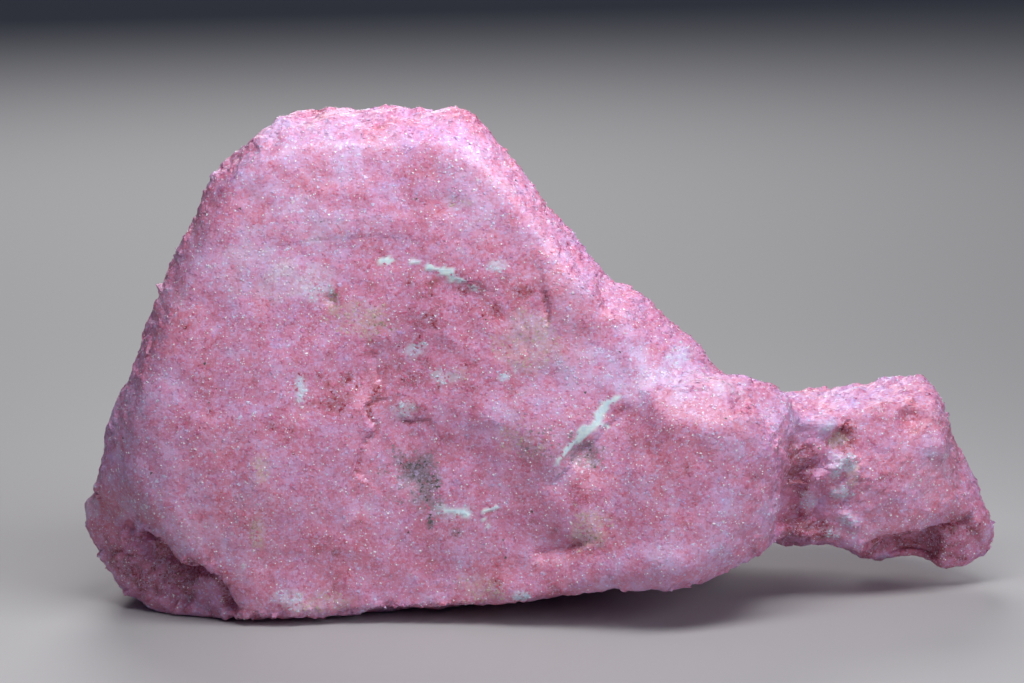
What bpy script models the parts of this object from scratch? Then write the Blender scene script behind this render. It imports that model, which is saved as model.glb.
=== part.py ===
"""A hand specimen of massive thulite: one broken piece of pink, granular rock on its flat underside.

The rock is built the way it broke. Convex chunks are laid over each other and fused, shallow scars are
struck off the fused mass, ledges, pits and lumps are worked into the main face, the whole surface is
roughened, and the underside is cut flat where it touches the table. +X is to the right of the main face,
+Y goes to the back and +Z is up. Blender's unit is the metre; the tables of corners, scars and relief
below are in millimetres, and the finished rock is brought to LENGTH.
"""

from dataclasses import dataclass

import bmesh
import bpy
import numpy as np
from mathutils import Vector, noise

MM = 0.001

NODE_NAME = "thulite_rock"
LENGTH = 100.0 * MM  # from the nub on the left to the tip of the tail
FUSING_VOXEL = 0.8 * MM  # grid on which the chunks are fused
WEAR_PASSES = 4  # smoothing that dulls the chunks' edges
TRIANGLES = 8400  # left on the finished rock

MAIN_FACE_FULL = 0.75  # share of a surface's normal that points forward where face relief is at full strength
MAIN_FACE_NONE = 0.25  # and where it has faded out

SWELL_LENGTH_MM, SWELL_HEIGHT_MM = 13.0, 0.45  # broad waves over the whole surface
KNOB_LENGTH_MM, KNOB_HEIGHT_MM = 4.2, 0.20  # knobs the size of a grain cluster
FLAKE_LENGTH_MM, FLAKE_HEIGHT_MM, FLAKE_STEPS = 9.0, 0.7, 2.5  # stepped breaks


@dataclass(frozen=True)
class Chunk:
    """A convex block of the rock, given by its corners."""

    name: str
    corners: tuple


@dataclass(frozen=True)
class Scar:
    """A shallow concave break: what lies inside this ball has flaked away."""

    name: str
    centre: tuple
    radius: float


@dataclass(frozen=True)
class Ledge:
    """A step on the main face, along a line of (x, z) points.

    To the right of the line, seen in the direction it runs, the face lies deeper by drop. It heals over fade.
    """

    name: str
    line: tuple
    drop: float
    fade: float


@dataclass(frozen=True)
class Lump:
    """A rounded rise on the main face, or a pit where rise is negative. place and reach are along x and z."""

    name: str
    place: tuple
    reach: tuple
    rise: float


CHUNKS = (
    Chunk(
        "crown",
        (
            # main face
            (-25.5, -11.0, 51.0), (-9.0, -11.2, 51.2), (-1.5, -12.6, 43.8), (5.0, -13.8, 35.5),
            (9.0, -17.0, 14.0), (-37.5, -17.2, 12.0), (-43.0, -15.2, 21.0), (-39.0, -13.6, 32.0),
            (-34.8, -12.6, 41.5), (-31.4, -11.4, 47.8),
            # crest and rims
            (-28.5, -7.0, 52.1), (-26.8, -6.0, 53.6), (-19.5, -4.5, 53.7), (-7.2, -6.0, 54.1),
            (-5.5, -7.5, 49.9), (0.5, -8.0, 43.8), (7.4, -8.0, 36.0), (12.0, -8.0, 24.0),
            (-47.4, -11.0, 15.5), (-45.9, -11.0, 22.3), (-41.4, -10.5, 31.2), (-37.9, -10.0, 40.0),
            (-35.0, -8.5, 47.0), (-31.9, -8.0, 49.8),
            # back
            (-25.0, 2.5, 52.0), (-10.5, 3.0, 51.0), (-33.0, 6.5, 42.0), (-2.0, 8.5, 40.0),
            (-38.0, 11.0, 24.0), (9.0, 11.5, 24.0), (-8.0, 14.5, 30.0), (-24.0, 14.0, 31.0),
        ),
    ),
    Chunk(
        "body",
        (
            # front edge of the underside
            (-33.0, -17.0, 0.3), (-29.4, -18.2, 0.8), (-22.4, -18.4, 1.7), (-12.8, -18.9, 2.6),
            (-1.8, -20.2, 3.4), (2.0, -19.6, 4.3), (13.0, -17.0, 5.8),
            # main face
            (-37.6, -17.6, 8.5), (-43.0, -15.6, 15.5), (-41.0, -15.0, 25.0), (-20.0, -18.4, 12.0),
            (4.0, -18.6, 14.0), (13.0, -14.6, 25.0), (8.5, -13.6, 32.5),
            # left rim
            (-48.0, -11.0, 13.2), (-47.6, -11.0, 16.0), (-46.5, -10.5, 20.0), (-45.2, -10.0, 23.5),
            # right slope
            (8.9, -8.5, 35.6), (12.1, -9.0, 33.4), (15.8, -9.0, 30.0), (17.6, -9.0, 27.4),
            (20.3, -9.0, 25.0),
            # back
            (10.0, 9.0, 31.0), (19.0, 10.0, 22.0), (22.0, 14.0, 10.0), (12.0, 19.5, 9.0),
            (-6.0, 18.0, 17.0), (-33.0, 13.0, 27.5), (-43.0, 9.0, 18.0), (-38.0, 16.0, 7.0),
            # underside
            (-36.0, -8.0, -1.0), (-8.0, -5.5, -1.0), (8.0, 8.0, -1.0), (13.0, 16.0, -0.5),
            (-10.0, 19.0, -1.0), (-34.0, 16.0, -1.0), (-40.0, 6.0, 0.5),
        ),
    ),
    Chunk(
        "buttress",
        (
            # top ledge
            (10.5, -15.6, 25.2), (14.0, -15.6, 26.0), (20.0, -13.4, 25.8), (21.2, -11.0, 26.0),
            (23.0, -11.0, 25.8), (26.8, -11.0, 24.0),
            # face
            (14.0, -18.8, 22.4), (20.0, -18.6, 22.2), (25.2, -16.4, 20.0), (26.4, -15.0, 12.0),
            (28.3, -9.6, 14.0), (14.0, -19.6, 9.0), (20.0, -19.0, 9.8), (9.0, -18.4, 14.0),
            # foot
            (6.0, -18.5, 5.0), (14.0, -18.6, 5.6), (17.2, -18.4, 6.4), (23.8, -17.0, 7.7),
            (27.6, -10.5, 6.6),
            # root, inside the body and the tail
            (10.0, -2.0, 24.0), (26.0, 5.0, 21.0), (26.0, 8.0, 8.0), (10.0, 5.0, 4.0),
        ),
    ),
    Chunk(
        "neck",
        (
            (27.6, -9.8, 20.6), (28.2, -10.0, 12.0), (27.6, -9.6, 6.0), (33.6, -8.0, 20.2),
            (34.5, -8.2, 12.5), (32.4, -7.6, 6.4), (25.0, 0.0, 22.6), (34.0, 0.0, 21.4),
            (25.0, 0.0, 5.0), (33.0, 0.0, 4.6),
        ),
    ),
    Chunk(
        "tail",
        (
            # top
            (22.0, -6.5, 20.8), (34.0, -6.0, 21.2), (42.8, -5.0, 21.0), (27.0, 4.0, 21.3),
            (34.4, 4.0, 21.9), (42.2, 4.4, 22.6), (43.8, 3.4, 21.4),
            # end
            (44.4, 2.5, 19.0), (44.9, 2.0, 16.8), (45.8, -2.0, 15.6), (47.0, 6.0, 11.0),
            (46.4, -4.4, 8.6),
            # front, down to its lower lip
            (30.0, -8.4, 14.0), (38.0, -8.2, 13.0), (41.6, -6.8, 7.8), (38.4, -7.2, 6.2),
            (35.0, -7.6, 5.2), (31.0, -8.0, 6.6),
            # back and underside
            (20.0, 12.0, 17.0), (38.0, 10.5, 16.0), (40.0, 10.5, 7.0), (22.0, 13.0, 7.0),
            (24.0, 2.0, 5.5), (38.0, -1.0, 5.6),
        ),
    ),
    Chunk(
        "under the tail",
        (
            (33.4, -2.0, 4.0), (36.9, -1.2, 1.9), (39.3, -1.4, 1.6), (41.6, -1.4, 2.0),
            (35.0, -3.4, 6.5), (42.0, -2.8, 7.5), (36.0, 6.0, 2.2), (43.0, 6.0, 4.0),
            (34.0, 8.0, 6.0), (44.0, 6.0, 12.0), (34.0, 6.0, 14.0),
        ),
    ),
    Chunk(
        "tail tip",
        (
            (45.0, 1.8, 17.0), (46.9, 1.6, 15.1), (48.0, 1.5, 13.0), (49.6, 0.5, 9.0),
            (50.9, -0.5, 6.8), (50.9, -0.8, 5.0), (49.4, -1.4, 3.0), (47.3, -2.0, 2.1),
            (44.2, -2.8, 1.7), (42.8, -3.4, 2.3), (43.0, -4.0, 5.4), (45.6, -4.4, 7.6),
            (48.0, -3.0, 9.0), (41.5, 3.0, 2.6), (42.0, 8.0, 5.5), (45.0, 7.0, 12.0),
            (47.8, 5.0, 5.5), (40.0, 6.0, 14.0),
        ),
    ),
    Chunk(
        "toe",
        (
            # facet below the corner break
            (-48.8, -8.5, 12.2), (-49.4, -9.0, 10.6), (-48.5, -9.5, 8.4), (-47.3, -9.8, 4.6),
            (-46.2, -10.0, 2.3), (-44.7, -11.0, 1.4), (-42.5, -12.0, 1.2), (-40.5, -13.2, -0.3),
            (-37.5, -14.0, -0.8), (-33.5, -15.2, -0.8),
            # under the corner
            (-44.5, -13.0, 9.6), (-40.5, -14.4, 6.6), (-36.0, -15.2, 3.6),
            # root
            (-44.0, 4.0, 10.0), (-42.0, 8.0, 1.0), (-36.0, 4.0, -1.0), (-36.0, 4.0, 8.0),
        ),
    ),
)

SCARS = (
    Scar("hollow under the arch", (-15.0, -90.5, 18.0), 75.0),
    Scar("top notch", (-24.2, -6.0, 61.9), 8.9),
    Scar("back of the crown", (-16.0, 60.0, 58.0), 52.5),
    Scar("back left", (-50.0, 34.0, 36.0), 30.0),
    Scar("back middle", (-16.0, 47.0, 14.0), 31.5),
    Scar("back right", (24.0, 40.0, 34.0), 29.0),
    Scar("back foot", (10.0, 64.0, -10.0), 48.5),
    Scar("right slope", (31.0, 10.0, 52.0), 27.0),
)

LEDGES = (
    Ledge(
        "arch",
        (
            (-25.5, 40.1), (-22.0, 40.5), (-18.3, 41.0), (-14.8, 41.2), (-13.0, 39.6),
            (-9.2, 36.8), (-4.2, 34.6), (-1.4, 31.5), (-1.9, 29.4), (-2.8, 26.3),
        ),
        0.7,
        7.0,
    ),
    Ledge(
        "middle break",
        ((-19.4, 16.2), (-18.8, 18.9), (-17.4, 21.5), (-17.4, 22.7), (-18.1, 24.0), (-18.2, 29.9)),
        0.5,
        5.0,
    ),
    Ledge("vein break", ((0.0, 15.0), (1.7, 17.3), (3.7, 20.0), (6.1, 22.7), (8.3, 24.5)), 0.7, 3.5),
    Ledge("right of the crack", ((0.9, 31.0), (0.9, 33.4), (0.6, 35.0), (-0.6, 39.0)), -0.5, 6.0),
    Ledge(
        "corner break",
        (
            (-47.5, 13.2), (-44.2, 11.3), (-41.0, 10.1), (-39.4, 8.0),
            (-36.6, 6.2), (-34.2, 4.4), (-33.1, 3.3), (-31.6, 0.5),
        ),
        1.1,
        3.5,
    ),
)

LUMPS = (
    Lump("pit under the vein", (4.8, 18.5), (2.2, 1.8), -0.7),
    Lump("pit above the foot", (2.7, 8.6), (3.4, 1.0), -0.8),
    Lump("foot knob", (8.5, 6.4), (3.4, 1.4), 0.7),
    Lump("foot knob right", (13.9, 7.2), (3.0, 1.6), 0.8),
    Lump("foot knob left", (-3.0, 4.4), (2.6, 1.2), 0.6),
    Lump("swelling of the face", (-26.0, 16.0), (9.0, 8.0), 0.8),
    Lump("dark pit", (-13.1, 16.1), (2.0, 1.6), -0.5),
    Lump("tail pit", (40.5, 20.0), (1.6, 1.0), -0.9),
    Lump("tail knob", (44.0, 16.6), (1.7, 1.5), 0.8),
    Lump("tail crevice", (44.4, 8.4), (2.8, 0.6), -1.1),
    Lump("neck hollow", (32.8, 17.4), (1.5, 1.4), -0.9),
)


def clear_scene():
    """Removes every object that the scene starts with."""
    for obj in list(bpy.data.objects):
        bpy.data.objects.remove(obj)


def hull_of(chunk):
    """The chunk's convex hull as a mesh."""
    shell = bmesh.new()
    for corner in chunk.corners:
        shell.verts.new(Vector(corner) * MM)
    hull = bmesh.ops.convex_hull(shell, input=shell.verts)
    inside = [e for e in hull["geom_interior"] if isinstance(e, bmesh.types.BMVert)]
    bmesh.ops.delete(shell, geom=inside, context="VERTS")
    bmesh.ops.recalc_face_normals(shell, faces=shell.faces)
    mesh = bpy.data.meshes.new(chunk.name)
    shell.to_mesh(mesh)
    shell.free()
    return mesh


def pile_up(chunks):
    """One object that holds every chunk, still overlapping."""
    pile = bmesh.new()
    for chunk in chunks:
        mesh = hull_of(chunk)
        pile.from_mesh(mesh)
        bpy.data.meshes.remove(mesh)
    mesh = bpy.data.meshes.new(NODE_NAME)
    pile.to_mesh(mesh)
    pile.free()
    rock = bpy.data.objects.new(NODE_NAME, mesh)
    bpy.context.scene.collection.objects.link(rock)
    return rock


def apply_modifiers(rock):
    """Makes the modifiers' result the rock's own mesh."""
    graph = bpy.context.evaluated_depsgraph_get()
    mesh = bpy.data.meshes.new_from_object(rock.evaluated_get(graph))
    rock.modifiers.clear()
    old = rock.data
    rock.data = mesh
    bpy.data.meshes.remove(old)
    mesh.name = NODE_NAME


def fuse(rock):
    """Fuses the chunks into one skin and dulls its edges."""
    remesh = rock.modifiers.new("fuse", "REMESH")
    remesh.mode = "VOXEL"
    remesh.voxel_size = FUSING_VOXEL
    wear = rock.modifiers.new("wear", "SMOOTH")
    wear.iterations = WEAR_PASSES
    apply_modifiers(rock)


def rows_of(collection, attribute):
    """A vector attribute of every vertex, one row each."""
    values = np.empty(len(collection) * 3)
    collection.foreach_get(attribute, values)
    return values.reshape(-1, 3)


def reshape(rock, moved_by):
    """Moves the rock's points to what moved_by(points, normals) returns, in millimetres."""
    mesh = rock.data
    points = rows_of(mesh.vertices, "co") / MM
    normals = rows_of(mesh.vertices, "normal")
    mesh.vertices.foreach_set("co", (moved_by(points, normals) * MM).ravel())
    mesh.update()


def smooth_step(value, none, full):
    """0 at none, 1 at full, and an even curve between them."""
    share = np.clip((value - none) / (full - none), 0, 1)
    return share * share * (3 - 2 * share)


def struck(points, _normals):
    """The points once the scars are struck: what lies inside a ball moves out to its surface."""
    points = points.copy()
    for scar in SCARS:
        away = points - np.array(scar.centre)
        distance = np.linalg.norm(away, axis=1)
        inside = distance < scar.radius
        points[inside] += away[inside] * (scar.radius / distance[inside] - 1)[:, None]
    return points


def depth_beside(ledge, x, z):
    """How much deeper the main face lies at (x, z) because of a ledge."""
    nearest = np.full(len(x), np.inf)
    side = np.zeros(len(x))
    along = np.zeros(len(x))
    line = np.array(ledge.line)
    lengths = np.linalg.norm(np.diff(line, axis=0), axis=1)
    before = 0.0
    for (x0, z0), (x1, z1), length in zip(line[:-1], line[1:], lengths):
        run_x, run_z = (x1 - x0) / length, (z1 - z0) / length
        travelled = np.clip((x - x0) * run_x + (z - z0) * run_z, 0, length)
        gap_x, gap_z = x - x0 - travelled * run_x, z - z0 - travelled * run_z
        gap = np.hypot(gap_x, gap_z)
        closer = gap < nearest
        nearest[closer] = gap[closer]
        side[closer] = (gap_x * run_z - gap_z * run_x)[closer]
        along[closer] = (before + travelled[closer]) / lengths.sum()
        before += length
    ends = np.sin(np.pi * along) ** 0.5
    return np.where(side > 0, ledge.drop * np.exp(-nearest / ledge.fade) * ends, 0.0)


def worked(points, normals):
    """The points once the main face's ledges, pits and lumps are worked into it, along Y."""
    x, z = points[:, 0], points[:, 2]
    deeper = np.zeros(len(points))
    for ledge in LEDGES:
        deeper += depth_beside(ledge, x, z)
    for lump in LUMPS:
        off = ((x - lump.place[0]) / lump.reach[0]) ** 2 + ((z - lump.place[1]) / lump.reach[1]) ** 2
        deeper -= lump.rise * np.exp(-off)
    points = points.copy()
    points[:, 1] += deeper * smooth_step(-normals[:, 1], MAIN_FACE_NONE, MAIN_FACE_FULL)
    return points


def stepped(value, steps):
    """A soft staircase: flat treads with short, steep risers."""
    level = value * steps
    tread = np.floor(level)
    return (tread + smooth_step(level - tread, 0.7, 1.0)) / steps


def roughened(points, normals):
    """The points once broad swells, stepped breaks and knobs have roughened the whole surface."""
    swell = np.array([noise.noise(Vector(p) / SWELL_LENGTH_MM) for p in points])
    flake = np.array([noise.noise(Vector(p) / FLAKE_LENGTH_MM + Vector((7, 3, 5))) for p in points])
    knob = np.array([noise.noise(Vector(p) / KNOB_LENGTH_MM + Vector((2, 9, 4))) for p in points])
    knob = 1 - 2 * np.abs(knob)
    out = SWELL_HEIGHT_MM * swell
    out += FLAKE_HEIGHT_MM * (stepped(flake, FLAKE_STEPS) - 0.5 * flake)
    out += KNOB_HEIGHT_MM * (knob - knob.mean())
    return points + normals * out[:, None]


def thin_out(rock):
    """Leaves only as many triangles as the shape needs."""
    thin = rock.modifiers.new("thin", "DECIMATE")
    thin.ratio = TRIANGLES / (2 * len(rock.data.polygons))
    thin.use_collapse_triangulate = True
    apply_modifiers(rock)


def crumbs_of(shape):
    """The points of every separate bit of the shape but the biggest."""
    bits, left = [], set(shape.verts)
    while left:
        bit, reached = set(), {left.pop()}
        while reached:
            point = reached.pop()
            bit.add(point)
            next_to_it = {edge.other_vert(point) for edge in point.link_edges} & left
            reached |= next_to_it
            left -= next_to_it
        bits.append(bit)
    bits.sort(key=len)
    return [point for bit in bits[:-1] for point in bit]


def set_down(rock):
    """Cuts the underside flat on the table, and clears away crumbs and sealed bubbles."""
    shape = bmesh.new()
    shape.from_mesh(rock.data)
    whole = shape.verts[:] + shape.edges[:] + shape.faces[:]
    table = {"plane_co": (0, 0, 0), "plane_no": (0, 0, 1)}
    cut = bmesh.ops.bisect_plane(shape, geom=whole, **table, clear_inner=True)
    rim = [e for e in cut["geom_cut"] if isinstance(e, bmesh.types.BMEdge)]
    bmesh.ops.holes_fill(shape, edges=rim, sides=0)
    bmesh.ops.delete(shape, geom=crumbs_of(shape), context="VERTS")
    bmesh.ops.recalc_face_normals(shape, faces=shape.faces)
    shape.to_mesh(rock.data)
    shape.free()


def fit_to_length(rock):
    """Centres the rock over the origin and brings it to LENGTH."""
    points = rows_of(rock.data.vertices, "co")
    low, high = points.min(axis=0), points.max(axis=0)
    middle = (low + high) / 2
    middle[2] = 0
    rock.data.vertices.foreach_set("co", ((points - middle) * LENGTH / (high - low)[0]).ravel())
    rock.data.update()


def thulite():
    """Pink, dull and slightly rough."""
    material = bpy.data.materials.new("thulite")
    material.use_nodes = True
    shader = material.node_tree.nodes["Principled BSDF"]
    shader.inputs["Base Color"].default_value = (0.62, 0.27, 0.36, 1)
    shader.inputs["Roughness"].default_value = 0.55
    shader.inputs["Metallic"].default_value = 0.0
    return material


def main():
    """Builds the rock."""
    clear_scene()
    rock = pile_up(CHUNKS)
    fuse(rock)
    reshape(rock, struck)
    reshape(rock, worked)
    reshape(rock, roughened)
    thin_out(rock)
    set_down(rock)
    fit_to_length(rock)
    rock.data.materials.append(thulite())


main()
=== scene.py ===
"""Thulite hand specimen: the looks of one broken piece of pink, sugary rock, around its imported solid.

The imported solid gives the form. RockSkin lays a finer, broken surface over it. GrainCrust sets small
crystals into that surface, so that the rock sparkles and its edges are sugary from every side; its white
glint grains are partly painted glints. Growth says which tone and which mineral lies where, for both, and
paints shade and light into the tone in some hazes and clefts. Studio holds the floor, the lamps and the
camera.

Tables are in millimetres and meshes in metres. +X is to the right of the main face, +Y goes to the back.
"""

import logging
import math
from collections.abc import Callable, Sequence
from dataclasses import dataclass
from enum import Enum, IntEnum
from typing import ClassVar

import bmesh
import bpy
import numpy as np
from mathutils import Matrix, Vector, noise
from mathutils.kdtree import KDTree


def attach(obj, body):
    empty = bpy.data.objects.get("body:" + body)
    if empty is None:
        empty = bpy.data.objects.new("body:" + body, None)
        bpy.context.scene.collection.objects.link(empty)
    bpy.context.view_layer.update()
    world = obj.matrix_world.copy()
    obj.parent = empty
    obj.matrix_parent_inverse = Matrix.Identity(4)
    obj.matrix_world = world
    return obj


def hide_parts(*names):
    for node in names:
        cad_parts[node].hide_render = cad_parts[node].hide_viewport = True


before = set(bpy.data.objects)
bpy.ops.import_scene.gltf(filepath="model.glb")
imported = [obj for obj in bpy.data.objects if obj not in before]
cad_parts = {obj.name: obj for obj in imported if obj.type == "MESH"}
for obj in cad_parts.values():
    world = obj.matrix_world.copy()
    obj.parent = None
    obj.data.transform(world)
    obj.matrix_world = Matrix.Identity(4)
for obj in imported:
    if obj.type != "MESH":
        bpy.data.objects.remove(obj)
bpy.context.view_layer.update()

LOG = logging.getLogger("thulite")
MM = 0.001
ROCK_NODE = "thulite_rock"
BODY = "root"
SEED = 20

Point = tuple[float, float, float]
Spot = tuple[float, float]  # (x, z) on the main face, in mm
Pair = tuple[float, float]
Colour = tuple[float, float, float]

GRAIN_ROUGHNESS = 0.34
NOISE_SWING = 0.27  # the usual swing of Blender's noise
LAYER_STEP = (17.3, -9.1, 5.7)  # from one layer of noise to the next, in blobs


class Layer(IntEnum):
    """Which of many unlike noise patterns a thing reads. Its further waves take the numbers after it."""

    HAZE_EDGE = 5
    INCLUSION_EDGE = 6
    VEIN_EDGE = 11
    WANDER = 21
    RELIEF = 31
    TONE = 40
    WEB = 50
    PITS = 52
    CAST = 60
    BROAD_CHIPS = 70
    FINE_CHIPS = 80


# ---------------------------------------------------------------- finishes


@dataclass(frozen=True)
class Finish:
    """A plain finish, of one kind of grain or of the floor.

    Attributes:
        title: the material's name.
        colour: linear base colour.
        roughness: how dull its faces are.
        ior: how strongly its faces mirror.
    """

    title: str
    colour: Colour
    roughness: float
    ior: float = 1.69

    def material(self) -> bpy.types.Material:
        """Makes the plain material.

        Returns:
            A material with nothing but these values.
        """
        made = bpy.data.materials.new(self.title)
        made.use_nodes = True
        shader = made.node_tree.nodes["Principled BSDF"]
        shader.inputs["Base Color"].default_value = (*self.colour, 1.0)
        shader.inputs["Roughness"].default_value = self.roughness
        shader.inputs["IOR"].default_value = self.ior
        return made


class Shade(Enum):
    """The pink rock's tones, each with its place from 0, deep red, to 1, frost white, and its colour."""

    GARNET_RED = (0.00, (0.36, 0.045, 0.085))
    DEEP_ROSE = (0.15, (0.63, 0.155, 0.28))
    ROSE = (0.33, (0.70, 0.22, 0.40))
    PINK = (0.46, (0.70, 0.29, 0.535))
    PALE_PINK = (0.61, (0.70, 0.39, 0.67))
    BLUSH = (0.78, (0.71, 0.52, 0.82))
    FROST = (1.00, (0.77, 0.71, 0.96))


class Cast(Enum):
    """How warm or cool a tone leans, from 0 to 1, and the tint that does it."""

    SALMON = (0.0, (1.04, 0.95, 0.84))
    ROSY = (0.5, (1.0, 1.0, 1.0))
    LILAC = (1.0, (0.94, 1.01, 1.14))


class Mineral(Enum):
    """What grows in the pink rock besides it, and white grains that are partly painted glints."""

    # Partly quartz and partly a painted glint: a white grain that reads as the sparkle of crystal faces.
    QUARTZ = Finish("clear quartz", (0.95, 0.91, 1.00), 0.25, ior=1.8)
    MILKY = Finish("milky calcite", (0.68, 0.80, 0.93), 0.42)
    EPIDOTE = Finish("tan epidote", (0.66, 0.50, 0.45), 0.42)
    OLIVE = Finish("brown-olive epidote", (0.36, 0.28, 0.21), 0.42)
    AMPHIBOLE = Finish("grey-green amphibole", (0.13, 0.12, 0.12), 0.50)
    SMOKY = Finish("smoky quartz", (0.36, 0.27, 0.33), 0.36)


def rock_finishes() -> list[Finish]:
    """Lists every finish that a grain may have.

    Returns:
        Each shade in each cast, then the minerals.
    """
    finishes = []
    for shade in Shade:
        for cast in Cast:
            title = f"{shade.name} {cast.name}".replace("_", " ").lower()
            colour = tuple(np.array(shade.value[1]) * cast.value[1])
            finishes.append(Finish(title, colour, GRAIN_ROUGHNESS))
    return finishes + [mineral.value for mineral in Mineral]


# ---------------------------------------------------------------- fields over the rock


def noise_over(points: np.ndarray, length: float, layer: int, octaves: int = 1) -> np.ndarray:
    """Smooth noise around 0 with a usual swing of 1 at each point.

    Args:
        points: places in mm, one row each.
        length: size of the noise's blobs, in mm.
        layer: which of many unlike patterns to read.
        octaves: how many finer copies are added, each half as strong.

    Returns:
        One value for each point.
    """
    shift = Vector([layer * step for step in LAYER_STEP])
    total = np.zeros(len(points))
    power = 0.0
    for octave in range(octaves):
        scale = 2**octave / length
        total += 0.5**octave * np.array([noise.noise(Vector(p) * scale + shift) for p in points])
        power += 0.25**octave
    return total / (NOISE_SWING * math.sqrt(power))


def eased(value: np.ndarray, none: float, full: float) -> np.ndarray:
    """0 at none, 1 at full, and an even curve between them."""
    share = np.clip((value - none) / (full - none), 0, 1)
    return share * share * (3 - 2 * share)


def beside(points: np.ndarray, line: tuple[Spot, ...]) -> tuple[np.ndarray, np.ndarray, np.ndarray]:
    """Where points lie beside a line on the main face.

    Args:
        points: places in mm.
        line: the line's corners, as (x, z) in mm.

    Returns:
        For each point its gap from the line in mm, how far along the line that is in corners, and how
        far it is off to the line's side in mm: above 0 on the right, seen along the line.
    """
    gap = np.full(len(points), np.inf)
    along, side = np.zeros(len(points)), np.zeros(len(points))
    for number, ((x0, z0), (x1, z1)) in enumerate(zip(line[:-1], line[1:])):
        length = math.hypot(x1 - x0, z1 - z0)
        run_x, run_z = (x1 - x0) / length, (z1 - z0) / length
        gone = np.clip((points[:, 0] - x0) * run_x + (points[:, 2] - z0) * run_z, 0, length)
        off_x = points[:, 0] - x0 - gone * run_x
        off_z = points[:, 2] - z0 - gone * run_z
        away = np.hypot(off_x, off_z)
        closer = away < gap
        gap[closer] = away[closer]
        along[closer] = number + gone[closer] / length
        side[closer] = (off_x * run_z - off_z * run_x)[closer]
    return gap, along, side


# ---------------------------------------------------------------- where the tones and minerals lie


@dataclass(frozen=True)
class Patch:
    """A ragged patch on the rock.

    Attributes:
        centre: its middle, in mm.
        reach: its half-width along X, Y and Z, in mm.
        edge: where it ends, in reaches.
        tear: how far noise tears its outline, in reaches.
        blur: over how much it fades, in reaches.
    """

    centre: Point
    reach: Point
    edge: ClassVar[float] = 1.15
    tear: ClassVar[float] = 0.17
    blur: ClassVar[float] = 0.6

    def cover(self, points: np.ndarray, ragged: np.ndarray) -> np.ndarray:
        """1 inside the patch and 0 outside it.

        Args:
            points: places in mm.
            ragged: noise that tears the patch's outline.

        Returns:
            One value for each point.
        """
        off = np.linalg.norm((points - np.array(self.centre)) / np.array(self.reach), axis=1)
        return eased(self.edge - off + self.tear * ragged, 0, self.blur)


@dataclass(frozen=True)
class Haze(Patch):
    """A patch where the pink is paler or deeper, and warmer or cooler. Some are painted shade or painted
    light.

    Attributes:
        tone: added to the tone's place among the shades.
        cast: added to the place among the casts.
    """

    tone: float
    cast: float


@dataclass(frozen=True)
class Inclusion(Patch):
    """A patch where grains of another mineral lie among the pink ones.

    Attributes:
        mineral: what grows there.
        share: of the grains in its middle.
    """

    mineral: Mineral
    share: float


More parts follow.
